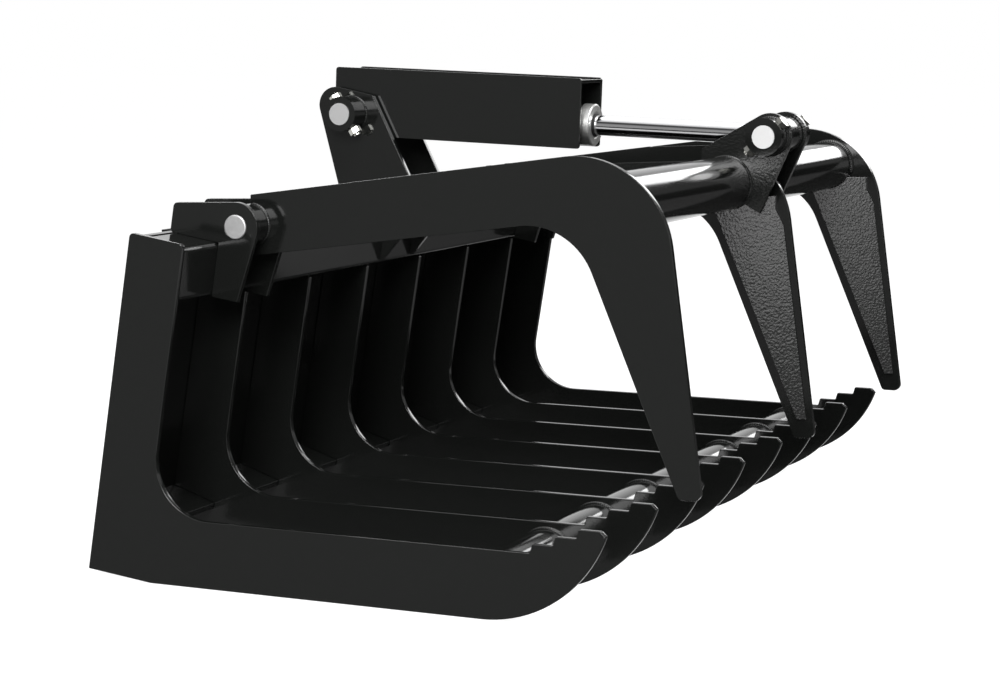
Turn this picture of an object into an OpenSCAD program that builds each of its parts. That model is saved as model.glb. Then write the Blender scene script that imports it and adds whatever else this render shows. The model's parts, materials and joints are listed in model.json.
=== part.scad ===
// Root grapple for a skid-steer loader: a lower rack of L-shaped tines, and one
// clamp of three arms, opened and closed by a guarded hydraulic cylinder.
// X runs across the grapple, -Y points to the tine tips, +Z is up, floor at Z = 0.
// Side views are drawn with s running back from the tine tips, and z up.

/* [Lower rack] */
// overall width across the two end tines
width = 1524; // [1480:1:1580]
// thickness of each tine plate
tine_t = 10; // [8:0.5:12]
// length of a tine from tip to heel
tine_len = 854; // [840:1:880]
// height of the flat bar of a tine
bar_h = 103.5; // [100:0.5:108]
// length of the leg from the heel to its top
leg_h = 531; // [526:1:540]
// width of the leg plate
leg_w = 93; // [90:0.5:97]
// angle at which the leg leans forward
leg_lean = 9; // [8.5:0.1:9.5]
// radius of the inner corner between bar and leg
corner_r = 88; // [80:1:95]
// radius of the swept underside at the tip
sweep_r = 203; // [195:1:212]
// run of one saw tooth at the tip
tooth_run = 35.5; // [33:0.5:38]
// rise of one saw tooth
tooth_rise = 13.6; // [12:0.1:14.5]
// rise of the heel above the floor
heel_rise = 13; // [11:0.5:15]

/* [Cross members] */
// height of the rectangular rear rail
rail_h = 85; // [80:0.5:88]
// wall of the rail and of the round tubes
tube_wall = 6.4; // [4:0.2:8]
// outside diameter of the two round cross tubes
tube_d = 89; // [86:0.5:89]
// thickness of the back plate, the hook lip and the lower plate
plate_t = 10; // [8:0.5:11]
// width of the quick-attach interface
attach_w = 1140; // [1120:1:1150]

/* [Clamp] */
// thickness of each clamp arm
arm_t = 10; // [8:0.5:12]
// distance of the outer arms in from the ends of the grapple
arm_in = 161; // [150:1:168]
// height of the arm bar
arm_bar_h = 94; // [92:0.5:96]
// angle at which the arm bar rises forward
arm_rise = 7.8; // [7.4:0.1:8]
// length of the arm's top edge to its elbow corner
arm_len = 673; // [668:1:677]
// length of the tooth below the elbow corner
tooth_len = 519; // [505:1:525]
// angle of the tooth's front edge ahead of vertical
tooth_rake = 8; // [7:0.2:9]
// width of the tooth at its tip
tooth_tip_w = 36; // [32:1:42]
// radius of the outer elbow
elbow_r = 150; // [140:1:158]
// radius of the inner elbow
throat_r = 108; // [95:1:115]

/* [Pins] */
// diameter of every pivot pin
pin_d = 38; // [36:0.5:40]
// outside radius of the ears around a pin
ear_r = 38; // [36:0.5:40]
// thickness of hinge ears, cylinder brackets and rod ears
ear_t = 10; // [8:0.5:12]
// gap between the two hinge ears of one end arm
ear_gap = 85; // [80:1:90]

/* [Cylinder] */
// outside diameter of the cylinder barrel
barrel_d = 72; // [70:0.5:73]
// diameter of the piston rod
rod_d = 35; // [32:0.5:36]
// distance from the rear pin to the face of the gland
gland_x = 436; // [430:1:440]
// length of the guard channel
guard_len = 466; // [455:1:470]
// height of the guard channel
guard_h = 119.5; // [116:0.5:122]
// outside width of the guard channel
guard_w = 102; // [99:0.5:104]
// plate thickness of the guard channel
guard_t = 6; // [4:0.5:6.5]

/* [Hidden] */
$fn = 72;
slip = 0.05;             // radial clearance of a pin that turns in a bore
seat = 0.3;              // side clearance of parts that swing past each other
black = [0.06, 0.06, 0.065];
steel = [0.72, 0.73, 0.74];
bright = [0.86, 0.87, 0.88];
zinc = [0.78, 0.78, 0.76];
dark = [0.03, 0.03, 0.03];

pitch = (width - tine_t) / 7;
tip_edge = 8;            // flat nose and corner of a tine tip
tooth_slope = 4;         // forward slant of a tooth's riser
teeth_start = 116;       // first riser, behind the tip
tine_top = bar_h + 3 * tooth_rise;
sweep_s = sqrt(pow(sweep_r, 2) - pow(sweep_r - tine_top + tip_edge, 2));
heel_run = 111;          // length of the raised heel
front_tube_s = 177;
front_tube_z = tube_d / 2 + 4;

root_gap = 0.05;         // gap between plates welded face to face
rail_top = leg_h - 6;
rail_r = 9;              // outer corner of the rail
rail_low = rail_top - rail_h;
rail_x = width / 2 - tine_t;
low_s = 754;             // front edge of the lower plate's top face
low_z = 85;
low_tilt = 18.2;
low_len = 138;
low_inner = 86;          // part of the lower plate ahead of the rear face
slot_x = 400;            // locking slots of the quick attach
slot_l = 60;
slot_w = 26;
slot_back = 115;
lip_len = 60;
lip_t = 6;
lip_drop = 5.5;           // slope of the hook lip

hinge = lean(rail_top + 29.4, leg_w + 25.75);
bush_gap = 3;            // side gap of a hinge boss
boss_r = 33;
ear_rise = 46.6;         // rear corner of an ear above the rail
ear_back = 6.4;          // rear edge of an ear, ahead of the leg's rear edge
ear_foot = 45;           // forward reach of an ear's lower end

rear_pin = lean(rail_top + 167.8, leg_w - 94.4);
bracket_gap = guard_w + 10;
collar_r = 30;
rear_collar = 46;

arm_x = width / 2 - arm_in;
arm_top = hinge + [0, arm_bar_h / 2];
elbow = arm_top + arm_len * [-cos(arm_rise), sin(arm_rise)];
tip = elbow + tooth_len * [-sin(tooth_rake), -cos(tooth_rake)];
clamp_tube = elbow + [78.8, -87.3];
rod_pin = elbow + [3.8, -7.8];
rod_gap = 76;
rod_ear_r = ear_r;
rod_collar = 36;
pin_proud = 2;
bolt_d = 12;
bolt_af = 19;            // across flats of the bolt heads and nuts

stroke_line = rear_pin - rod_pin;
pin_span = norm(stroke_line);
cyl_tilt = atan2(stroke_line[1], stroke_line[0]);
loose_r = pin_d / 2 + 9; // base eye, open around the rear pin by 9 mm
base_r = loose_r + 12;
guard_back = 40;
guard_over = 80;
eye_r = 32;
eye_w = rod_gap - 12;
socket_r = 22;
socket_end = 44;
base_cap = 60;
bore_r = barrel_d / 2 - 6;
gland_in = 64;
gland_flange = 20;
wiper_t = 4;
piston_len = 40;
piston_x = 305;
port_r = 13;
port_hole_r = 8;
port_top = 52;

throat_in = 135.5;       // inner corner of an arm, back from its outer corner
tip_r = 12;              // front corner of an arm's tip
stiff_front = 2;         // height of a stiffener's front edge above the arm
stiff_tilt = 15;         // angle at which its face rises to the rear
strip_t = 14;            // depth of the stiffeners on the middle arm's bar

front_s = tip[0] + tip_r * (1 / tan(45 - tooth_rake / 2) - 1);
back_s = low_s + low_len * cos(low_tilt) + plate_t * sin(low_tilt);
mid_s = (front_s + back_s) / 2;

// point on the leaning leg: up along its rear edge, forward from it
function lean(up, fwd) = [
    tine_len - up * sin(leg_lean) - fwd * cos(leg_lean),
    heel_rise + up * cos(leg_lean) - fwd * sin(leg_lean)];
function unit(v) = v / norm(v);
function polar(r, a) = [r * cos(a), r * sin(a)];
// where a line from outside point p touches a circle, on the chosen side
function touch(p, c, r, side) =
    let (d = norm(p - c), a = atan2(p[1] - c[1], p[0] - c[0]) + side * acos(r / d))
    c + polar(r, a);

// side view swept across the grapple, centred on x
module across(x, t) {
    translate([x - t / 2, -mid_s, 0]) rotate([90, 0, 90]) linear_extrude(t) children();
}
// round bar along X at the side-view point p
module bar_x(p, r, x0, x1) {
    translate([x0, p[0] - mid_s, p[1]]) rotate([0, 90, 0]) cylinder(r = r, h = x1 - x0);
}
// an inner corner at p, rounded: tangent point along u, centre, tangent point along v
function round_in(p, u, v, r) =
    let (half = acos(u * v) / 2)
    [p + u * r / tan(half), p + unit(u + v) * r / sin(half), p + v * r / tan(half)];
// what an outer corner at p loses when it is rounded; u and v run along its edges
module corner(p, u, v, r) {
    half = acos(u * v) / 2;
    mid = unit(u + v);
    center = p + mid * r / sin(half);
    difference() {
        polygon([p - mid, p + u * r / tan(half), center, p + v * r / tan(half)]);
        translate(center) circle(r);
    }
}
module lean_box(u0, u1, f0, f1) {
    polygon([lean(u0, f0), lean(u0, f1), lean(u1, f1), lean(u1, f0)]);
}
// places children in the cylinder's frame: x from the rear pin to the rod pin, y up
module cyl_side() {
    translate(rear_pin) rotate(cyl_tilt) mirror([1, 0]) children();
}
module in_cylinder() {
    translate([0, rear_pin[0] - mid_s, rear_pin[1]]) rotate([cyl_tilt, 0, 0]) children();
}
// round bar along the cylinder's axis
module bar_c(r, x0, x1) {
    in_cylinder() rotate([90, 0, 0]) translate([0, 0, x0]) cylinder(r = r, h = x1 - x0);
}

// lower rack
module tine_outline() {
    leg_foot = (bar_h - heel_rise + leg_w * sin(leg_lean)) / cos(leg_lean);
    inner = lean(leg_foot, leg_w);
    inside = round_in(inner, unit(lean(leg_h, leg_w) - inner), [-1, 0], corner_r);
    difference() {
        polygon([
            [0, 0], [tine_len - heel_run, 0], lean(0, 0),
            lean(leg_h, 0), lean(leg_h, leg_w), each inside,
            for (i = [0:2]) each [
                [teeth_start - i * tooth_run, bar_h + i * tooth_rise],
                [teeth_start - i * tooth_run - tooth_slope, bar_h + (i + 1) * tooth_rise]],
            [tip_edge, tine_top], [0, tine_top - tip_edge]]);
        translate(inside[1]) circle(corner_r, $fn = 120);
        difference() {
            translate([-1, -1]) square([sweep_s + 1, tine_top - tip_edge + 1]);
            translate([sweep_s, sweep_r]) circle(sweep_r, $fn = 200);
        }
    }
}
module low_plate_side(len) {
    translate([low_s, low_z]) rotate(low_tilt) translate([0, -plate_t]) square([len, plate_t]);
}
module back_plate_side(behind, front) {
    difference() {
        lean_box(60, rail_top, -behind, front);
        translate([low_s, low_z]) rotate(low_tilt) translate([-50, -150]) square([250, 150]);
    }
}
module tine(i) {
    color(black) across(-width / 2 + tine_t / 2 + i * pitch, tine_t)
        if (i == 0 || i == 7) tine_outline();
        else difference() {
            tine_outline();
            lean_box(rail_low, leg_h + 10, -10, leg_w + 10);
            back_plate_side(10, plate_t);
            low_plate_side(low_len);
            translate([front_tube_s, front_tube_z]) circle(tube_d / 2);
        }
}
module back_plate() {
    color(black) across(0, 2 * rail_x) back_plate_side(0, plate_t - root_gap);
}
module hook_lip() {
    color(black) across(0, attach_w) difference() {
        translate(lean(rail_top, 0)) rotate(-lip_drop) translate([-plate_t, -lip_t]) square([lip_len + plate_t, lip_t]);
        lean_box(leg_h - 4 * plate_t, leg_h + 4 * plate_t, 0, 4 * plate_t);
    }
}
module lower_plate() {
    color(black) difference() {
        union() {
            across(0, 2 * rail_x) low_plate_side(low_inner);
            across(0, attach_w) low_plate_side(low_len);
        }
        for (side = [-1, 1]) across(side * slot_x, slot_l)
            translate([low_s, low_z]) rotate(low_tilt)
                translate([slot_back - slot_w / 2, -2 * plate_t]) square([slot_w, 3 * plate_t]);
    }
}
// section of the rail, moved in by an inset
module rail_side(inset, r) {
    low = rail_low + inset;
    high = rail_top - inset;
    rear = plate_t + inset;
    front = leg_w - inset;
    up = lean(1, 0) - lean(0, 0);
    fwd = lean(0, 1) - lean(0, 0);
    difference() {
        lean_box(low, high, rear, front);
        corner(lean(low, rear), up, fwd, r);
        corner(lean(high, rear), -up, fwd, r);
        corner(lean(low, front), up, -fwd, r);
        corner(lean(high, front), -up, -fwd, r);
    }
}
module rear_rail() {
    color(black) across(0, 2 * rail_x) difference() {
        rail_side(0, rail_r);
        rail_side(tube_wall, rail_r - tube_wall);
    }
}
module front_tube() {
    color(black) difference() {
        bar_x([front_tube_s, front_tube_z], tube_d / 2, -rail_x, rail_x);
        bar_x([front_tube_s, front_tube_z], tube_d / 2 - tube_wall, -rail_x - 1, rail_x + 1);
    }
}

// hinges of the two end arms
module hinge_ear(x) {
    rear = lean(rail_top + ear_rise, ear_back);
    foot = lean(rail_low, leg_w + ear_foot);
    color(black) difference() {
        across(x, ear_t) {
            translate(hinge) circle(ear_r);
            polygon([
                lean(rail_top, ear_back), rear, touch(rear, hinge, ear_r, 1), hinge,
                touch(foot, hinge, ear_r, -1), foot, lean(rail_low, leg_w), lean(rail_top, leg_w)]);
        }
        bar_x(hinge, pin_d / 2, x - ear_t, x + ear_t);
    }
}
module hinge_pin(x) {
    reach = ear_gap / 2 + ear_t + pin_proud;
    color(steel) bar_x(hinge, pin_d / 2, x - reach, x + reach);
}
module middle_pin() {
    reach = bracket_gap / 2 + ear_t + pin_proud;
    color(steel) bar_x(hinge, pin_d / 2, -reach, reach);
}

// bracket of the cylinder, which also carries the middle arm's hinge
module cylinder_bracket(side) {
    x = side * (bracket_gap + ear_t) / 2;
    base = lean(rail_top, plate_t);
    rear = base + [50, 175];
    crown = rear + [-115, -20.6];
    nose = hinge + [-43, -7];
    color(black) difference() {
        across(x, ear_t) difference() {
            polygon([base, rear, crown, nose, lean(rail_low, leg_w), lean(rail_top, leg_w)]);
            corner(rear, unit(base - rear), unit(crown - rear), 32);
            corner(crown, unit(rear - crown), unit(nose - crown), 6);
        }
        bar_x(rear_pin, pin_d / 2, x - ear_t, x + ear_t);
        bar_x(hinge, pin_d / 2, x - ear_t, x + ear_t);
    }
}
// one collar, welded to the outer side of a plate at distance x0 from the middle
module pin_collar(p, side, x0, len, r, bolt_angle) {
    color(black) difference() {
        bar_x(p, r, side > 0 ? x0 : -x0 - len, side > 0 ? x0 + len : -x0);
        bar_x(p, pin_d / 2, -x0 - len - 1, x0 + len + 1);
        cross_hole(p, side * (x0 + len / 2), bolt_angle);
    }
}
module cross_hole(p, x, angle) {
    translate([x, p[0] - mid_s, p[1]]) rotate([angle, 0, 0])
        translate([0, 0, -60]) cylinder(d = bolt_d, h = 120);
}
module drilled_pin(p, half, x_bolt, angle) {
    color(steel) difference() {
        bar_x(p, pin_d / 2, -half, half);
        for (side = [-1, 1]) cross_hole(p, side * x_bolt, angle);
    }
}
module cross_bolts(p, x_bolt, angle, r) {
    color(zinc) for (side = [-1, 1])
        translate([side * x_bolt, p[0] - mid_s, p[1]]) rotate([angle, 0, 0]) {
            translate([0, 0, -r - 14]) cylinder(d = bolt_d, h = 2 * r + 14);
            translate([0, 0, r]) cylinder(d = bolt_af / cos(30), h = 8, $fn = 6);
        }
}
module cross_nuts(p, x_bolt, angle, r) {
    color(zinc) for (side = [-1, 1])
        translate([side * x_bolt, p[0] - mid_s, p[1]]) rotate([angle, 0, 0])
            translate([0, 0, -r - 10]) difference() {
                cylinder(d = bolt_af / cos(30), h = 10, $fn = 6);
                translate([0, 0, -1]) cylinder(d = bolt_d, h = 12);
            }
}
rear_bolt_x = bracket_gap / 2 + ear_t + rear_collar / 2;
rear_bolt_angle = -33;
rod_bolt_x = rod_gap / 2 + ear_t + rod_collar / 2;
rod_bolt_angle = 49;

// clamp
module arm_outline() {
    low = arm_top - [0, arm_bar_h / cos(arm_rise)];
    throat = low + (arm_len - throat_in) * [-cos(arm_rise), sin(arm_rise)];
    heel = tip + [tooth_tip_w, 0];
    inside = round_in(throat, unit(heel - throat), unit(low - throat), throat_r);
    difference() {
        polygon([low, arm_top, elbow, tip, heel, each inside]);
        translate(inside[1]) circle(throat_r, $fn = 120);
        corner(elbow, unit(arm_top - elbow), unit(tip - elbow), elbow_r);
        corner(tip, unit(elbow - tip), [1, 0], tip_r);
        corner(heel, [-1, 0], unit(throat - heel), 8);
        translate(hinge) circle(boss_r);
    }
}
module clamp_arm(x) {
    color(black) across(x, arm_t) arm_outline();
}
module middle_arm() {
    back = clamp_tube + [148, 55.3];
    front = clamp_tube + [10, 62];
    color(black) across(0, arm_t) difference() {
        arm_outline();
        translate(clamp_tube) circle(tube_d / 2);
        polygon([back, front, front + [-20, 60], back + [0, 60]]);
    }
}
module clamp_tube_part() {
    reach = arm_x - arm_t / 2;
    color(black) difference() {
        bar_x(clamp_tube, tube_d / 2, -reach, reach);
        bar_x(clamp_tube, tube_d / 2 - tube_wall, -reach - 1, reach + 1);
    }
}
module hinge_boss(x, len) {
    color(black) difference() {
        bar_x(hinge, boss_r, x - len / 2, x + len / 2);
        bar_x(hinge, pin_d / 2 + slip, x - len, x + len);
    }
}
// wedge welded to the face of an arm below the clamp tube; its face rises to the rear
module stiffener(x, side) {
    lower = tip + [15, 32];
    face = x + side * arm_t / 2;
    depth = 60;
    color(black) difference() {
        across(face + side * depth / 2, depth) difference() {
            polygon([
                lower, lower + [16, 0], clamp_tube + [26, -39], clamp_tube + [18, -21],
                clamp_tube + [-76, -21], clamp_tube + [-76, -42], clamp_tube + [-90, -69]]);
            translate(clamp_tube) circle(tube_d / 2);
        }
        translate([face + side * stiff_front, lower[0] - mid_s, lower[1]])
            rotate([-tooth_rake, 0, 0]) rotate([0, 0, -side * stiff_tilt])
                translate([side > 0 ? 0 : -2 * depth, -depth, -depth]) cube([2 * depth, 300, 600]);
    }
}
// strip of the same pressing on the arm's bar, behind the clamp tube
module bar_stiffener(side) {
    color(black) across(side * (arm_t + strip_t) / 2, strip_t) difference() {
        polygon([
            clamp_tube + [328, 9], clamp_tube + [210, 27], clamp_tube + [50, 35], clamp_tube + [0, 35],
            clamp_tube + [28, -11], clamp_tube + [328, -51]]);
        translate(clamp_tube) circle(tube_d / 2);
    }
}
module rod_ear(side) {
    x = side * (rod_gap + ear_t) / 2;
    tail = clamp_tube + [42, 56];
    chin = clamp_tube + [-60, -48];
    color(black) difference() {
        across(x, ear_t) difference() {
            union() {
                translate(rod_pin) circle(rod_ear_r);
                polygon([
                    touch(tail, rod_pin, rod_ear_r, 1), rod_pin, touch(chin, rod_pin, rod_ear_r, -1),
                    chin, clamp_tube + [-22, -27], clamp_tube, clamp_tube + [42, 0], tail]);
            }
            translate(clamp_tube) circle(tube_d / 2);
        }
        bar_x(rod_pin, pin_d / 2, x - ear_t, x + ear_t);
    }
}

// cylinder
module base_eye() {
    color(black) difference() {
        union() {
            bar_x(rear_pin, base_r, -guard_w / 2 + guard_t, guard_w / 2 - guard_t);
            bar_c(barrel_d / 2, base_r - 12, base_cap);
        }
        bar_x(rear_pin, loose_r, -guard_w, guard_w);
    }
}
module barrel() {
    color(black) difference() {
        bar_c(barrel_d / 2, base_cap, gland_x - gland_flange);
        bar_c(bore_r, base_cap - 1, gland_x);
        for (at = port_at) port_shape(at, port_hole_r, 0, port_top);
    }
}
port_at = [base_cap + 30, gland_x - gland_in - 20];
module port_shape(at, r, y0, y1) {
    in_cylinder() translate([0, -at, y0]) cylinder(r = r, h = y1 - y0);
}
module cylinder_ports() {
    color(steel) for (at = port_at) difference() {
        port_shape(at, port_r, 20, port_top);
        port_shape(at, port_hole_r, 0, port_top + 1);
        bar_c(barrel_d / 2, at - 40, at + 40);
    }
}
module gland() {
    color(steel) difference() {
        union() {
            bar_c(barrel_d / 2, gland_x - gland_flange, gland_x);
            bar_c(bore_r, gland_x - gland_in, gland_x);
        }
        bar_c(rod_d / 2 + slip, gland_x - gland_in - 1, gland_x + 1);
    }
}
module wiper() {
    color(dark) difference() {
        bar_c(rod_d / 2 + 7, gland_x, gland_x + wiper_t);
        bar_c(rod_d / 2 + slip, gland_x - 1, gland_x + wiper_t + 1);
    }
}
module guard_side(side) {
    x = side * (guard_w - guard_t) / 2;
    color(black) difference() {
        across(x, guard_t) cyl_side()
            translate([-guard_back, guard_over - guard_h]) square([guard_len, guard_h]);
        bar_x(rear_pin, loose_r, x - guard_t, x + guard_t);
    }
}
module guard_top() {
    color(black) across(0, guard_w - 2 * guard_t) cyl_side()
        translate([-guard_back, guard_over - guard_t]) square([guard_len, guard_t]);
}

// rod
module piston_rod() {
    color(bright) bar_c(rod_d / 2, piston_x + piston_len, pin_span - socket_end);
}
module piston() {
    color(steel) bar_c(bore_r - slip, piston_x, piston_x + piston_len);
}
module rod_eye() {
    color(black) difference() {
        union() {
            bar_x(rod_pin, eye_r, -eye_w / 2, eye_w / 2);
            bar_c(socket_r, pin_span - socket_end, pin_span - 20);
        }
        bar_x(rod_pin, pin_d / 2 + slip, -eye_w, eye_w);
    }
}

inner_ear_x = arm_x - (ear_gap + ear_t) / 2;
outer_ear_x = arm_x + (ear_gap + ear_t) / 2;
rear_half = bracket_gap / 2 + ear_t + rear_collar + pin_proud;
rod_half = rod_gap / 2 + ear_t + rod_collar + pin_proud;

tine(0);  // tine_1
tine(1);  // tine_2
tine(2);  // tine_3
tine(3);  // tine_4
tine(4);  // tine_5
tine(5);  // tine_6
tine(6);  // tine_7
tine(7);  // tine_8
back_plate();
hook_lip();
lower_plate();
rear_rail();
front_tube();
hinge_ear(-outer_ear_x);  // hinge_ear_left_outer
hinge_ear(-inner_ear_x);  // hinge_ear_left_inner
hinge_ear(inner_ear_x);  // hinge_ear_right_inner
hinge_ear(outer_ear_x);  // hinge_ear_right_outer
hinge_pin(-arm_x);  // hinge_pin_left
middle_pin();  // hinge_pin_middle
hinge_pin(arm_x);  // hinge_pin_right
cylinder_bracket(-1);  // cylinder_bracket_left
cylinder_bracket(1);  // cylinder_bracket_right
pin_collar(rear_pin, -1, bracket_gap / 2 + ear_t, rear_collar, collar_r, rear_bolt_angle);  // rear_collar_left
pin_collar(rear_pin, 1, bracket_gap / 2 + ear_t, rear_collar, collar_r, rear_bolt_angle);  // rear_collar_right
drilled_pin(rear_pin, rear_half, rear_bolt_x, rear_bolt_angle);
cross_bolts(rear_pin, rear_bolt_x, rear_bolt_angle, collar_r);  // rear_pin_bolts
cross_nuts(rear_pin, rear_bolt_x, rear_bolt_angle, collar_r);  // rear_pin_nuts
clamp_arm(-arm_x);  // clamp_arm_left
middle_arm();  // clamp_arm_middle
clamp_arm(arm_x);  // clamp_arm_right
clamp_tube_part();  // clamp_tube
hinge_boss(-arm_x, ear_gap - 2 * bush_gap);  // hinge_boss_left
hinge_boss(0, bracket_gap - 2 * bush_gap);  // hinge_boss_middle
hinge_boss(arm_x, ear_gap - 2 * bush_gap);  // hinge_boss_right
stiffener(-arm_x, 1);  // stiffener_left
stiffener(0, -1);  // stiffener_middle_left
stiffener(0, 1);  // stiffener_middle_right
stiffener(arm_x, -1);  // stiffener_right
bar_stiffener(-1);  // bar_stiffener_left
bar_stiffener(1);  // bar_stiffener_right
rod_ear(-1);  // rod_ear_left
rod_ear(1);  // rod_ear_right
pin_collar(rod_pin, -1, rod_gap / 2 + ear_t, rod_collar, collar_r + 1, rod_bolt_angle);  // rod_collar_left
pin_collar(rod_pin, 1, rod_gap / 2 + ear_t, rod_collar, collar_r + 1, rod_bolt_angle);  // rod_collar_right
drilled_pin(rod_pin, rod_half, rod_bolt_x, rod_bolt_angle);
cross_bolts(rod_pin, rod_bolt_x, rod_bolt_angle, collar_r + 1);  // rod_pin_bolts
cross_nuts(rod_pin, rod_bolt_x, rod_bolt_angle, collar_r + 1);  // rod_pin_nuts
base_eye();
barrel();
cylinder_ports();
gland();
wiper();  // rod_wiper
guard_side(-1);  // guard_left
guard_side(1);  // guard_right
guard_top();
piston();
piston_rod();
rod_eye();
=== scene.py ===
"""Root grapple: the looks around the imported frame. Lengths in mm are turned to metres by MM."""
import json
import math

import bmesh
import bpy
import numpy as np
from mathutils import Matrix, Vector


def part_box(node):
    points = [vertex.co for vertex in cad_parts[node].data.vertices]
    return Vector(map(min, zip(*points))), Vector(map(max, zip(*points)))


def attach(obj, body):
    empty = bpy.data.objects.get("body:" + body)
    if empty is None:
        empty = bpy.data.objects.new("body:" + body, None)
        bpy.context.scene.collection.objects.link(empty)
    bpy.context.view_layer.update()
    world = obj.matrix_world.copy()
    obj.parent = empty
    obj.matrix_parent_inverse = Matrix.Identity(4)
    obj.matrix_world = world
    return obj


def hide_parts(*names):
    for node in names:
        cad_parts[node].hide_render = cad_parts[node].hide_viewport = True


MM = 0.001
MID_S = 400.502     # the side view's s is measured from the tine tips; Y = s - MID_S

# Places in the side view, mm: (s, z)
HINGE = (649.985, 541.998)
REAR_PIN = (747.005, 697.489)
ROD_PIN = (-12.989, 672.534)
FRONT_TUBE = (177.0, 48.5)
CLAMP_TUBE = (62.01, 593.03)

# Radii, mm
PIN_R = 19.0
TUBE_R = 44.5
BOSS_R = 33.0
REAR_COLLAR_R = 30.0
ROD_COLLAR_R = 31.0

# Places across the part, mm from its middle
HALF_PLATE = 5.0
TINES = 8
END_TINE_X = 757.0
ARM_X = 601.0
EAR_FACE_X = 48.0           # outer face of a rod ear
BRACKET_FACE_X = 66.0       # outer face of a bracket plate

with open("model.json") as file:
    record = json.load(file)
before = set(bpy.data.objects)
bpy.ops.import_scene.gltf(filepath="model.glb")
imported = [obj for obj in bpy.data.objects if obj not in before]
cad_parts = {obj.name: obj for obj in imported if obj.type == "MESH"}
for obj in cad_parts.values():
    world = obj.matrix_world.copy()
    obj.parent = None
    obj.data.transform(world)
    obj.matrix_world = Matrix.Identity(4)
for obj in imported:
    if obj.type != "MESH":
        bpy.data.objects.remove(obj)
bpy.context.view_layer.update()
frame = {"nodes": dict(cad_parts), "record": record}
nodes = frame["nodes"]
body_of = {n: b for b, names in frame["record"]["behaviour"]["bodies"].items() for n in names}
slot_of = {s["node"]: s["material_slot"] for s in frame["record"]["subparts"]}


# Camera: the photograph's place and lens, in the part's frame
PHOTO_W = 1000
FOCAL_PX = 2371.6
SENSOR_MM = 36
CAMERA_AT = (-3821.2 * MM, -1544.2 * MM, 832.1 * MM)
YAW = math.radians(23.124)      # from +X towards +Y
PITCH = math.radians(7.421)     # below the horizon
ROLL = math.radians(0.292)


def camera():
    look = Vector((math.cos(YAW) * math.cos(PITCH), math.sin(YAW) * math.cos(PITCH), -math.sin(PITCH)))
    right = look.cross(Vector((0, 0, 1))).normalized()
    up = right.cross(look)
    c, s = math.cos(ROLL), math.sin(ROLL)
    right, up = right * c + up * s, up * c - right * s
    data = bpy.data.cameras.new("camera")
    data.sensor_width = SENSOR_MM
    data.lens = FOCAL_PX * SENSOR_MM / PHOTO_W
    data.clip_end = 200         # metres
    cam = bpy.data.objects.new("camera", data)
    cam.matrix_world = Matrix.Translation(CAMERA_AT) @ Matrix((right, up, -look)).transposed().to_4x4()
    bpy.context.scene.collection.objects.link(cam)
    bpy.context.scene.camera = cam


# Materials
def linear(hex_colour):
    """sRGB hex to linear RGBA."""
    c = np.array([int(hex_colour[i:i + 2], 16) for i in (1, 3, 5)]) / 255
    c = np.where(c <= 0.04045, c / 12.92, ((c + 0.055) / 1.055) ** 2.4)
    return (*c.tolist(), 1.0)


def add(tree, kind, settings=None, links=None):
    """Adds one shader node; settings are attributes or input values, links are input: output socket."""
    node = tree.nodes.new(kind)
    for key, value in (settings or {}).items():
        if isinstance(key, str) and hasattr(node, key):
            setattr(node, key, value)
        else:
            node.inputs[key].default_value = value
    for key, socket in (links or {}).items():
        tree.links.new(socket, node.inputs[key])
    return node


def new_material(name, colour):
    m = bpy.data.materials.new(name)
    m.use_nodes = True
    tree = m.node_tree
    bsdf = tree.nodes["Principled BSDF"]
    bsdf.inputs["Base Color"].default_value = linear(colour)
    return m, tree, bsdf, add(tree, "ShaderNodeTexCoord").outputs["Object"]


def rough_and_bumped(tree, bsdf, patches, least, most, relief, height_mm):
    """Roughness between two values by one pattern, and a bump of a real height by another."""
    rough = add(tree, "ShaderNodeMapRange", {"To Min": least, "To Max": most},
                {"Value": patches.outputs["Fac"]})
    bump = add(tree, "ShaderNodeBump", {"Strength": 1.0, "Distance": height_mm * MM},
               {"Height": relief.outputs["Fac"]})
    tree.links.new(rough.outputs["Result"], bsdf.inputs["Roughness"])
    tree.links.new(bump.outputs["Normal"], bsdf.inputs["Normal"])


CLOUD_MM = 90       # width of the patches in which a coat is a little rougher or smoother


def coat(name, colour, peel_mm, peel_height_mm, roughness, level):
    """A baked or moulded skin. Orange peel is a noise of its own width, as a bump of its own height."""
    m, tree, bsdf, place = new_material(name, colour)
    bsdf.inputs["Specular IOR Level"].default_value = level
    peel = add(tree, "ShaderNodeTexNoise", {"Scale": 1 / (peel_mm * MM), "Detail": 1.5, "Roughness": 0.4},
               {"Vector": place})
    cloud = add(tree, "ShaderNodeTexNoise", {"Scale": 1 / (CLOUD_MM * MM), "Detail": 3.0},
                {"Vector": place})
    rough_and_bumped(tree, bsdf, cloud, roughness - 0.03, roughness + 0.05, peel, peel_height_mm)
    return m


def bare_metal(name, colour, roughness, mark_mm, mark_height_mm):
    """Turned or plated metal. Tool marks are a noise, seen in the roughness and as a low bump."""
    m, tree, bsdf, place = new_material(name, colour)
    bsdf.inputs["Metallic"].default_value = 1.0
    marks = add(tree, "ShaderNodeTexNoise", {"Scale": 1 / (mark_mm * MM), "Detail": 3.0},
                {"Vector": place})
    rough_and_bumped(tree, bsdf, marks, roughness * 0.8, roughness * 1.3, marks, mark_height_mm)
    return m


# Powder coat, sprayed and baked: it has flowed nearly flat, so the black plates mirror the studio softly
paint = coat("powder_coat_black", "#161716", 4.0, 0.03, 0.1, 0.5)
# The same coat where it was sprayed thick: its orange peel breaks the studio's light into fine grains.
# A real peel is 1 to 3 mm wide and under 0.1 mm high: it is drawn wider and higher, so that it shows
peel_paint = coat("powder_coat_orange_peel", "#161716", 3.8, 0.38, 0.16, 0.6)
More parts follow.
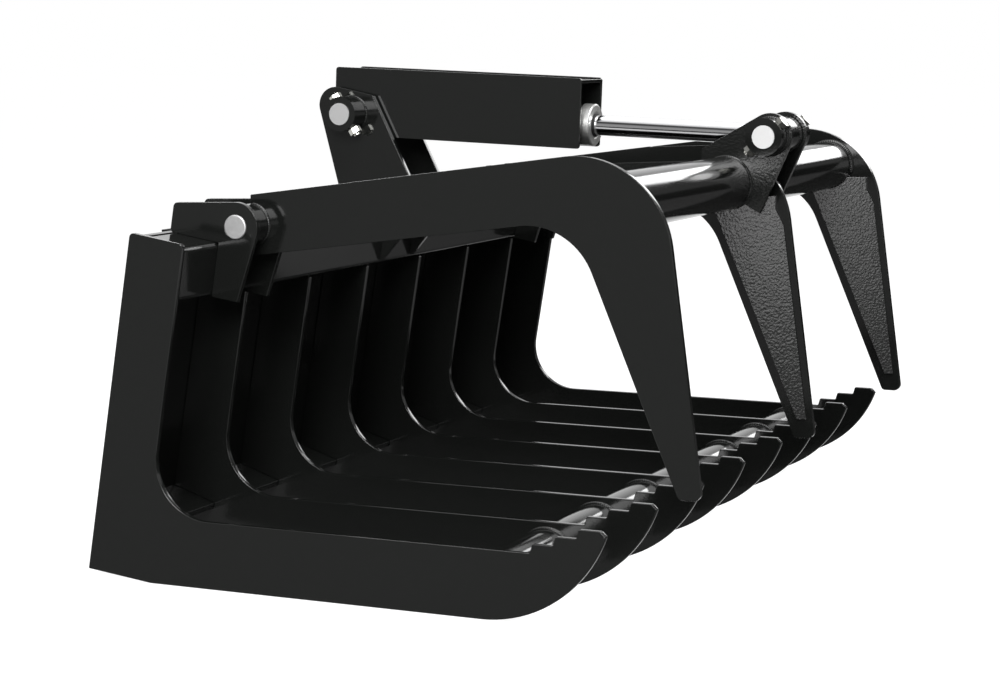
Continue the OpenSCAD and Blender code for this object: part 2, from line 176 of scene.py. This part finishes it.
# Turned bar, faced at its ends: a light grey without a clear mirror image. The tool marks of this and the
# next two are under 0.5 mm wide and are drawn coarser, so that they show
pin_steel = bare_metal("turned_steel_pin", "#dcdcdc", 0.5, 3, 0.01)
# Turned steel of the gland: a little brighter and smoother than the pins
turned_steel = bare_metal("turned_steel", "#e6e6e4", 0.4, 3, 0.01)
# Zinc plate on bolts and nuts: a cool grey with small bright spots
zinc = bare_metal("zinc_plate", "#c6c6c0", 0.28, 2, 0.02)
# Hard chrome, ground and polished: the studio in sharp lines along the rod, softer here and there
chrome = bare_metal("hard_chrome", "#e8e8ea", 0.1, 60, 0.0)
# Moulded nitrile rubber: dull, darker than the paint
rubber = coat("nitrile_rubber", "#101010", 2.0, 0.02, 0.6, 0.4)

finish = {"black_paint": paint, "pin_steel": pin_steel, "zinc_plate": zinc, "bare_steel": turned_steel,
          "hard_chrome": chrome, "black_rubber": rubber}
ORANGE_PEEL = ("stiffener", "bar_stiffener", "rod_ear_")


def finish_of(node):
    return peel_paint if node.startswith(ORANGE_PEEL) else finish[slot_of[node]]


# Pieces
MERGE_MM = 0.01
FLAT = math.radians(0.3)        # faces closer to one plane than this are joined
PLATE_CREASE = math.radians(35)     # the least angle of a plate's edge that is broken
TURNED_CREASE = math.radians(25)    # and of a turned piece's
SQUARE = math.radians(60)       # the least angle of a plate's corner that gets a larger radius
ALONG_X = 0.99                  # share of its length that an edge across a plate runs along X
CORNER_SEGMENTS = 6


def join_flats(bm):
    """Merges a mesh's doubles and joins the triangles of each flat face."""
    bmesh.ops.remove_doubles(bm, verts=bm.verts, dist=MERGE_MM * MM)
    bmesh.ops.dissolve_limit(bm, angle_limit=FLAT, verts=bm.verts, edges=bm.edges)


def piece_of(bm, name, material):
    """Turns the bmesh into a smooth-shaded object of one material."""
    mesh = bpy.data.meshes.new(name)
    bm.to_mesh(mesh)
    bm.free()
    mesh.polygons.foreach_set("use_smooth", np.ones(len(mesh.polygons), bool))
    mesh.materials.append(material)
    piece = bpy.data.objects.new(name, mesh)
    bpy.context.scene.collection.objects.link(piece)
    return piece


def break_edges(piece, width_mm, least_angle, corner):
    """A small bevel on each edge sharper than the least angle; flat faces stay flat."""
    bevel = piece.modifiers.new("broken_edges", "BEVEL")
    bevel.width = width_mm * MM
    bevel.segments = 2
    bevel.limit_method = "ANGLE"
    bevel.angle_limit = least_angle
    bevel.miter_outer = corner
    piece.modifiers.new("flat_faces", "WEIGHTED_NORMAL")


def stands_for(piece, node):
    """The piece is seen in the node's place, on its body; the node itself is hidden."""
    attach(piece, body_of[node])
    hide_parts(node)


def rounded_plate(bm, node, width_mm):
    """Stands for the node: flats joined, then the edges broken."""
    join_flats(bm)
    piece = piece_of(bm, node + "_rounded", finish_of(node))
    break_edges(piece, width_mm, PLATE_CREASE, "MITER_ARC")
    stands_for(piece, node)


def rounded_copy(node, width_mm, shift, corner_mm, above_mm):
    """The node's own solid with its edges broken, and set over by a few mm where that is asked. The outer
    corners of a plate that stands across X, above a height, are first rounded by a larger radius."""
    bm = bmesh.new()
    bm.from_mesh(nodes[node].data)
    bmesh.ops.translate(bm, verts=bm.verts, vec=Vector(shift) * MM)
    if corner_mm:
        join_flats(bm)
        across = [e for e in bm.edges if abs(e.verts[0].co.x - e.verts[1].co.x) > ALONG_X * e.calc_length()]
        corners = [e for e in across if e.is_convex and e.calc_face_angle() > SQUARE
                   and e.verts[0].co.z > above_mm * MM]
        bmesh.ops.bevel(bm, geom=corners, offset=corner_mm * MM, segments=CORNER_SEGMENTS, profile=0.5,
                        affect="EDGES")
    rounded_plate(bm, node, width_mm)


ARC_STEP_MM = 4
LEAST_ARC_POINTS = 6


def rounded_outline(corners):
    """Closed outline of rows (s, z, radius): an arc about the point on the corner's halving line at
    radius / sin(half angle), between the two points where it touches the sides."""
    p = np.array(corners, float)[:, :2]
    pieces = []
    for i, (_, _, r) in enumerate(corners):
        a, b = p[i - 1] - p[i], p[(i + 1) % len(p)] - p[i]
        a, b = a / np.linalg.norm(a), b / np.linalg.norm(b)
        half = math.acos(float(np.dot(a, b))) / 2
        centre = p[i] + (a + b) / np.linalg.norm(a + b) * r / math.sin(half)
        ends = [p[i] + side * r / math.tan(half) - centre for side in (a, b)]
        first, last = (math.atan2(e[1], e[0]) for e in ends)
        turn = (last - first + math.pi) % (2 * math.pi) - math.pi
        count = max(LEAST_ARC_POINTS, round(abs(turn) * r / ARC_STEP_MM))
        angles = first + turn * np.linspace(0, 1, count)
        pieces.append(centre + r * np.stack([np.cos(angles), np.sin(angles)], axis=1))
    return np.concatenate(pieces)


BORE_SIDES = 48


def circle(centre, r):
    angles = np.linspace(0, 2 * np.pi, BORE_SIDES, endpoint=False)
    return np.array(centre) + r * np.stack([np.cos(angles), np.sin(angles)], axis=1)


def plate_with_bores(node, outline, bores, width_mm):
    """Flat plate between the node's own faces in X: outline and bores filled, then carried across."""
    low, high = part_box(node)
    bm = bmesh.new()
    edges = []
    for loop in (outline, *bores):
        ring = [bm.verts.new((low[0], (s - MID_S) * MM, z * MM)) for s, z in loop.tolist()]
        edges += [bm.edges.new(pair) for pair in zip(ring, ring[1:] + ring[:1])]
    filled = bmesh.ops.triangle_fill(bm, use_beauty=True, edges=edges)
    faces = [f for f in filled["geom"] if isinstance(f, bmesh.types.BMFace)]
    carried = bmesh.ops.extrude_face_region(bm, geom=faces, use_keep_orig=True)
    moved = [v for v in carried["geom"] if isinstance(v, bmesh.types.BMVert)]
    bmesh.ops.translate(bm, verts=moved, vec=(high[0] - low[0], 0, 0))
    bmesh.ops.recalc_face_normals(bm, faces=bm.faces)
    rounded_plate(bm, node, width_mm)


GRID_MERGE_MM = 0.002       # joins the points of a bead's ends, where its section has no size


def grid_piece(name, shells, material):
    """One mesh of several closed shells. Each shell is an array (along, around, 3) in mm, closed round its
    second way, and round its first where its flag says so; its open ends run out to one point each."""
    points, faces, start = [], [], 0
    for shell, closed in shells:
        n, m = shell.shape[:2]
        i, j = np.meshgrid(np.arange(n if closed else n - 1), np.arange(m), indexing="ij")
        k = (i + 1) % n
        quad = np.stack([i * m + j, i * m + (j + 1) % m, k * m + (j + 1) % m, k * m + j], axis=-1)
        faces.append(quad.reshape(-1, 4) + start)
        points.append(shell.reshape(-1, 3))
        start += n * m
    grid = bpy.data.meshes.new(name + "_grid")
    grid.from_pydata((np.concatenate(points) * MM).tolist(), [], np.concatenate(faces).tolist())
    bm = bmesh.new()
    bm.from_mesh(grid)
    bpy.data.meshes.remove(grid)
    bmesh.ops.remove_doubles(bm, verts=bm.verts, dist=GRID_MERGE_MM * MM)
    bmesh.ops.recalc_face_normals(bm, faces=bm.faces)
    return piece_of(bm, name, material)


# Weld beads. Swell, crown and root are shares of the leg
RIPPLE_MM = 3.5     # step between the ripples of a hand weld
SWELL = 0.06        # at each ripple
CROWN = 0.12        # height over the straight line between the toes
ROOT = 0.1          # depth in the plate and the tube
CROWN_POINTS = 7
BEAD_STEP = 1.2     # degrees between two sections


def bead(centre, x, out, radius, first, last, leg):
    """Fillet weld round a tube, where it meets a plate's face at x. Its section has one toe on the plate at
    radius + leg and one on the tube at x + out * leg, joined by a crowned curve. The section is carried
    round the tube from the first to the last angle, in degrees from +Y towards +Z, swells at each ripple,
    and runs out to nothing at its ends, unless they meet."""
    full = last - first >= 360
    angle = np.radians(np.arange(first, last, BEAD_STEP)) if full else np.radians(
        np.linspace(first, last, round((last - first) / BEAD_STEP)))
    run = angle * radius
    size = leg * (1 + SWELL * np.sin(2 * np.pi * run / RIPPLE_MM))
    if not full:
        size = size * np.sqrt(np.clip(np.minimum(run - run[0], run[-1] - run) / leg, 0, 1))
    t = np.linspace(0, 1, CROWN_POINTS)
    crown = CROWN * np.sin(np.pi * t)
    from_tube = np.concatenate([[-ROOT], 1 - t + crown])
    from_plate = np.concatenate([[-ROOT], t + crown])
    r = radius + size[:, None] * from_tube
    points = np.stack([x + out * size[:, None] * from_plate,
                       centre[0] - MID_S + r * np.cos(angle)[:, None],
                       centre[1] + r * np.sin(angle)[:, None]], axis=-1)
    return points, full


def welds(name, body, rows):
    piece = grid_piece(name, [bead(*row) for row in rows], paint)
    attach(piece, body)


TURNED_SIDES = 96


def turned(node, profile, edge_mm):
    """Solid of revolution about the cylinder's axis, from the rear pin to the rod pin. The profile is a
    closed row of (distance from the rear pin, radius)."""
    axis = np.array([0, ROD_PIN[0] - REAR_PIN[0], ROD_PIN[1] - REAR_PIN[1]])
    axis = axis / np.linalg.norm(axis)
    side = np.array([1.0, 0, 0])
    rise = np.cross(axis, side)
    start = np.array([0, REAR_PIN[0] - MID_S, REAR_PIN[1]])
    angle = np.linspace(0, 2 * np.pi, TURNED_SIDES, endpoint=False)[:, None, None]
    at, r = (np.array(profile)[None, :, i, None] for i in (0, 1))
    points = start + at * axis + r * (np.cos(angle) * side + np.sin(angle) * rise)
    piece = grid_piece(node + "_turned", [(points, True)], finish_of(node))
    break_edges(piece, edge_mm, TURNED_CREASE, "MITER_SHARP")
    stands_for(piece, node)


# What the nodes get, by the start of their names: the first entry that fits holds
EDGE_MM = {"tine": 1.5, "back_plate": 0.8, "hook_lip": 0.8, "lower_plate": 0.8, "hinge_ear": 0.9,
           "clamp_arm": 0.9, "rod_ear_": 0.9, "stiffener": 0.8, "bar_stiffener": 2.0, "guard_top": 0.8,
           "guard_": 2.0, "hinge_pin": 2.2, "rear_pin": 1.8, "rod_pin": 1.8, "rear_collar": 1.2,
           "rod_collar": 1.2, "hinge_boss": 1.2}
# Radius of a plate's outer corners, and the height above which they have it, mm
CORNERS = {"tine_1": (7, 450), "tine_8": (7, 450), "hinge_ear": (6, 500), "guard_left": (5, 0),
           "guard_right": (5, 0)}
# The guard's top is welded a little below the edges of its sides, mm
SET_OVER = {"guard_top": (0, 0.08, -2.5)}


def entry(table, node, default):
    """The value of the first key that the node's name starts with."""
    return next((value for start, value in table.items() if node.startswith(start)), default)


for name, obj in nodes.items():
    obj.data.materials.clear()
    obj.data.materials.append(finish_of(name))
for name in nodes:
    width = entry(EDGE_MM, name, None)
    if width and not name.endswith(("bolts", "nuts")):
        rounded_copy(name, width, entry(SET_OVER, name, (0, 0, 0)), *entry(CORNERS, name, (0, 0)))

# Bracket plates: they rise past the rear pin, to a rounded rear corner. Rows of (s, z, corner radius), mm
BRACKET = [(762.0, 530.0, 3), (823.0, 753.5, 32), (705.5, 729.7, 6), (607.0, 535.0, 5), (693.3, 433.0, 3),
           (680.0, 517.0, 3)]
BRACKET_EDGE_MM = 0.9
for node in ("cylinder_bracket_left", "cylinder_bracket_right"):
    plate_with_bores(node, rounded_outline(BRACKET), [circle(REAR_PIN, PIN_R), circle(HINGE, PIN_R)],
                     BRACKET_EDGE_MM)

# Each weld row: centre, x, side it faces, radius, first and last angle, leg. The angles cover the part of
# the seat that lies on the plate
SIDES = (-1, 1)
tine_x = [-END_TINE_X + i * 2 * END_TINE_X / (TINES - 1) for i in range(TINES)]
tine_faces = [(x + side * HALF_PLATE, side) for x in tine_x for side in SIDES]
inner_faces = [(x, side) for x, side in tine_faces if abs(x) < END_TINE_X]
boss_faces = [(x + side * HALF_PLATE, side) for x in (-ARM_X, 0, ARM_X) for side in SIDES]
welds("weld_front_tube", "frame",
      [(FRONT_TUBE, x, side, TUBE_R, -62, 242, 4) for x, side in inner_faces])
welds("weld_clamp_tube", "clamp",
      [(CLAMP_TUBE, side * (ARM_X - HALF_PLATE), -side, TUBE_R, -55, 200, 5) for side in SIDES])
welds("weld_rod_ears", "clamp",
      [(CLAMP_TUBE, side * EAR_FACE_X, side, TUBE_R, 35, 218, 2.5) for side in SIDES])
welds("weld_hinge_bosses", "clamp",
      [(HINGE, x, side, BOSS_R, 95, 265, 3) for x, side in boss_faces])
welds("weld_rear_collars", "frame",
      [(REAR_PIN, side * BRACKET_FACE_X, side, REAR_COLLAR_R, 0, 360, 2.5) for side in SIDES])
welds("weld_rod_collars", "clamp",
      [(ROD_PIN, side * EAR_FACE_X, side, ROD_COLLAR_R, 0, 360, 2.5) for side in SIDES])

# Gland with a broken front edge and a step round the rod; wiper as a thin lip
GLAND = [(372, 17.8), (372, 29.9), (416, 29.9), (416, 36), (434, 36), (436, 34), (436, 23), (435, 22),
         (435, 17.8)]
WIPER = [(434.9, 17.7), (434.9, 20.2), (437, 20.0), (439, 18.5), (439, 17.7)]
turned("gland", GLAND, 0.4)
turned("rod_wiper", WIPER, 0.1)


# Stage: white floor and background, soft lights. Lengths are in metres
FLOOR_HALF = 40.0
FLOOR_Z = -0.0005
FLOOR_GLOW = 0.94       # brings the floor up to the photograph's white
WHITE = (1, 1, 1, 1)
PLAIN_LIGHT = 0.2       # what matt surfaces get from all sides

# Place, aim, size and radiance
SOFTBOXES = {"softbox_key": ((-4.1, -0.9, 2.25), (0, -0.2, 0.4), (2.0, 1.6), 16.5),
             "softbox_fill": ((-4.5, -1.2, 0.65), (0, -0.4, 0.5), (1.6, 0.75), 3.2),
             "softbox_top": ((-0.6, -0.9, 3.2), (0, 0, 0.3), (2.4, 1.2), 8),
             "softbox_far": ((3.8, -0.62, 1.85), (0, -0.3, 0.6), (1.15, 1.3), 5),
             "softbox_rear": ((2.6, 3.0, 3.4), (0, 0.3, 0.3), (2.0, 1.6), 7)}


def step(tree, value, low, high, start=0.0, end=1.0):
    """Goes softly from start to end as the value goes from low to high."""
    return add(tree, "ShaderNodeMapRange", {"interpolation_type": "SMOOTHSTEP", "From Min": low,
               "From Max": high, "To Min": start, "To Max": end}, {"Value": value}).outputs["Result"]


def arithmetic(tree, operation, a, b):
    """One operation on two numbers or sockets."""
    numbers = {i: v for i, v in enumerate((a, b)) if isinstance(v, float)}
    sockets = {i: v for i, v in enumerate((a, b)) if not isinstance(v, float)}
    return add(tree, "ShaderNodeMath", {"operation": operation, **numbers}, sockets).outputs[0]


def mix(tree, share, a, b):
    return add(tree, "ShaderNodeMix", {"data_type": "FLOAT"}, {0: share, 2: a, 3: b}).outputs[0]


def floor():
    r = FLOOR_HALF
    mesh = bpy.data.meshes.new("floor")
    mesh.from_pydata([(-r, -r, 0), (r, -r, 0), (r, r, 0), (-r, r, 0)], [], [(0, 1, 2, 3)])
    ground = bpy.data.objects.new("floor", mesh)
    ground.location.z = FLOOR_Z
    bpy.context.scene.collection.objects.link(ground)
    m = bpy.data.materials.new("studio_floor")
    m.use_nodes = True
    tree = m.node_tree
    tree.nodes.clear()
    rays = add(tree, "ShaderNodeLightPath")
    white = add(tree, "ShaderNodeBsdfDiffuse", {"Color": linear("#969696")})
    level = arithmetic(tree, "MULTIPLY", rays.outputs["Is Camera Ray"], FLOOR_GLOW)
    glow = add(tree, "ShaderNodeEmission", {"Color": WHITE}, {"Strength": level})
    both = add(tree, "ShaderNodeAddShader", {}, {0: white.outputs[0], 1: glow.outputs[0]})
    # Gloss looks past the floor to the studio round it
    clear = add(tree, "ShaderNodeBsdfTransparent")
    mixed = add(tree, "ShaderNodeMixShader", {},
                {0: rays.outputs["Is Glossy Ray"], 1: both.outputs[0], 2: clear.outputs[0]})
    add(tree, "ShaderNodeOutputMaterial", {}, {"Surface": mixed.outputs[0]})
    mesh.materials.append(m)


def studio():
    """The world: white to the camera, plain to matt surfaces, and a studio by direction to gloss."""
    world = bpy.data.worlds.new("studio")
    bpy.context.scene.world = world
    world.use_nodes = True
    tree = world.node_tree
    tree.nodes.clear()
    rays = add(tree, "ShaderNodeLightPath").outputs
    direction = add(tree, "ShaderNodeTexCoord").outputs["Generated"]
    x, y, z = add(tree, "ShaderNodeSeparateXYZ", {}, {0: direction}).outputs
    # Right half (+X): a white wall behind (+Y), a dark gap, a dimmer wall in front (-Y), and a dark line
    # at the horizon
    behind = step(tree, y, -0.22, 0.3, 0.1, 1.1)
    in_front = step(tree, y, -0.3, -0.6, 0.0, 0.45)
    height = add(tree, "ShaderNodeMath", {"operation": "ABSOLUTE"}, {0: z}).outputs[0]
    horizon = step(tree, height, 0.05, 0.1, 0.12, 1.0)
    right_half = arithmetic(tree, "MULTIPLY", arithmetic(tree, "ADD", behind, in_front), horizon)
    # Left half (-X): a grey wall that ends above, with a lit band low down
    left = step(tree, x, 0.0, -0.4)
    grey = step(tree, z, 0.5, 0.25, 0.05, 0.3)
    band = arithmetic(tree, "MULTIPLY", left, step(tree, z, -0.28, -0.38, 0.0, 0.5))
    walls = arithmetic(tree, "ADD", mix(tree, left, right_half, grey), band)
    # Dark below the walls, a white ceiling above them
    walls = arithmetic(tree, "MULTIPLY", walls, step(tree, z, -0.6, -0.42))
    by_direction = arithmetic(tree, "ADD", walls, step(tree, z, 0.6, 0.85))
    plain = step(tree, rays["Is Camera Ray"], 0.0, 1.0, PLAIN_LIGHT, 1.0)
    gloss = arithmetic(tree, "MAXIMUM", rays["Is Glossy Ray"], rays["Is Transmission Ray"])
    level = mix(tree, gloss, plain, by_direction)
    sky = add(tree, "ShaderNodeBackground", {"Color": WHITE}, {"Strength": level})
    add(tree, "ShaderNodeOutputWorld", {}, {"Surface": sky.outputs[0]})


def softbox(name, at, aim, size, radiance):
    data = bpy.data.lights.new(name, "AREA")
    data.shape = "RECTANGLE"
    data.size, data.size_y = size
    data.energy = radiance * math.pi * size[0] * size[1]
    lamp = bpy.data.objects.new(name, data)
    lamp.location = at
    lamp.rotation_euler = (Vector(aim) - Vector(at)).to_track_quat("-Z", "Y").to_euler()
    bpy.context.scene.collection.objects.link(lamp)


camera()
floor()
studio()
for name, row in SOFTBOXES.items():
    softbox(name, *row)
bpy.context.scene.view_settings.view_transform = "Standard"
